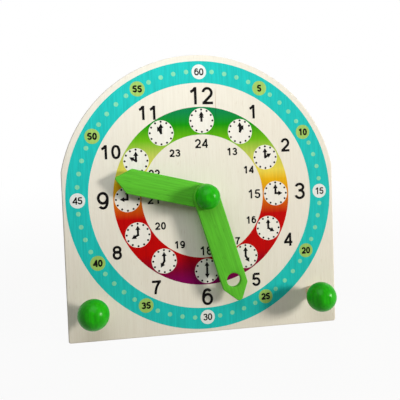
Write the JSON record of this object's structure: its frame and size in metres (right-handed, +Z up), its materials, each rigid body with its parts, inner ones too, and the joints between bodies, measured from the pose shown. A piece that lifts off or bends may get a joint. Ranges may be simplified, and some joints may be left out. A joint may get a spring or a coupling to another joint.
{
  "type": "geared teaching clock",
  "caption": "Arched wooden teaching clock: printed dial, hour and minute hand geared together on one centre, ball knob, and two ball-headed pegs that prop the board.",
  "frame": {"origin": "middle of the board's planed bottom edge, on the surface that the clock stands on", "axes": "+Z up, +X to the viewer's right along the bottom edge, -Y towards the viewer; the dial leans back 15 degrees"},
  "size_m": [0.22, 0.112, 0.2147],
  "materials": {
    "birch_board": "clear matt lacquer on birch plywood",
    "hand_green": "satin green stain",
    "ball_green": "gloss green lacquer",
    "dowel": "bare turned birch",
    "gear_plastic": "natural acetal",
    "bush_plastic": "smooth moulded",
    "case_plastic": "fine moulded grain",
    "steel": "zinc plated",
    "spring_steel": "bright"
  },
  "bodies": {
    "clock_body": {"dial_board": "birch_board", "centre_bush": "bush_plastic", "rear_bush": "bush_plastic", "friction_washer": "spring_steel", "idler_post": "steel", "idler_clip": "steel", "case_base": "case_plastic", "case_cover": "case_plastic", "case_screws": "steel", "base_screws": "steel", "left_peg": "dowel", "right_peg": "dowel", "left_ball": "ball_green", "right_ball": "ball_green"},
    "minute_hand_set": {"minute_hand": "hand_green", "centre_knob": "ball_green", "minute_arbor": "dowel", "cannon_pinion": "gear_plastic"},
    "hour_hand_set": {"hour_hand": "hand_green", "hour_pipe": "gear_plastic", "hour_wheel": "gear_plastic"},
    "idler_set": {"minute_wheel": "gear_plastic", "minute_pinion": "gear_plastic"}
  },
  "joints": [
    {"name": "minute_turn", "type": "hinge", "parent": "clock_body", "child": "minute_hand_set", "pos_m": [0, 0.02438, 0.10644], "axis": [0, 0.9659, -0.2588], "continuous": true},
    {"name": "hour_turn", "type": "hinge", "parent": "clock_body", "child": "hour_hand_set", "pos_m": [0, 0.02438, 0.10644], "axis": [0, 0.9659, -0.2588], "continuous": true},
    {"name": "idler_turn", "type": "hinge", "parent": "clock_body", "child": "idler_set", "pos_m": [0, 0.01817, 0.08326], "axis": [0, 0.9659, -0.2588], "continuous": true}
  ],
  "couplings": [
    {"joint": "hour_turn", "follows": "minute_turn", "ratio": 0.083333},
    {"joint": "idler_turn", "follows": "minute_turn", "ratio": -0.33333}
  ]
}
